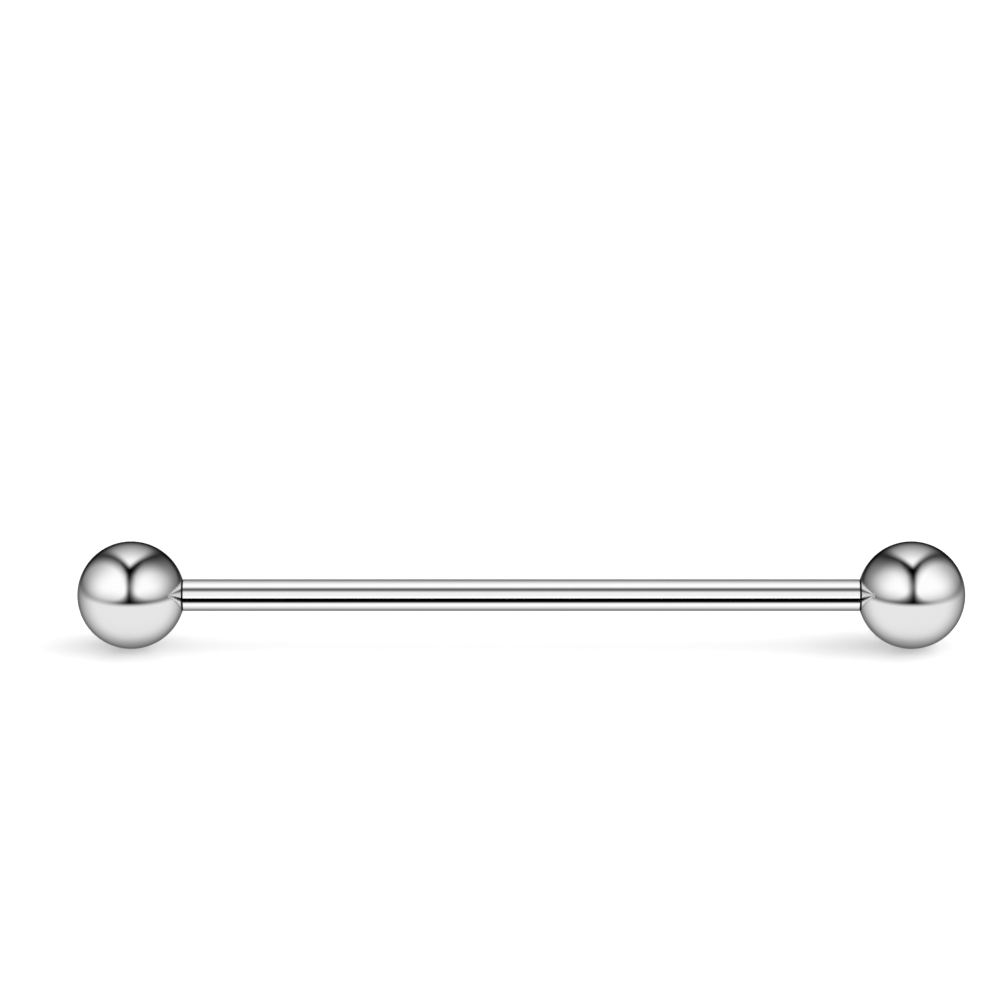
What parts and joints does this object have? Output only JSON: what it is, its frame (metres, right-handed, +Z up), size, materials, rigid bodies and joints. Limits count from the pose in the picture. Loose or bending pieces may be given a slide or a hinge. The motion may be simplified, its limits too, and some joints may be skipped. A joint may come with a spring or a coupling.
{
  "type": "industrial barbell",
  "caption": "Long straight round bar of polished steel with a screw-on ball at each end, worn through piercings on opposite sides of an ear.",
  "frame": {"origin": "on the floor that the balls rest on, under the middle of the bar", "axes": "+X along the bar towards the right ball, +Z up, and the picture looks along +Y"},
  "size_m": [0.0446, 0.0054, 0.0054],
  "materials": {
    "bar_steel": "stainless steel, centreless ground and polished bright round the bar",
    "ball_steel": "stainless steel, tumbled and polished to a mirror"
  },
  "bodies": {
    "bar": {"bar": "bar_steel"},
    "left_ball": {"left_ball": "ball_steel"},
    "right_ball": {"right_ball": "ball_steel"}
  },
  "joints": [
    {"name": "left_ball_off", "type": "slide", "parent": "bar", "child": "left_ball", "axis": [-1, 0, 0], "range_m": [0, 0.008]},
    {"name": "right_ball_off", "type": "slide", "parent": "bar", "child": "right_ball", "axis": [1, 0, 0], "range_m": [0, 0.008]}
  ]
}
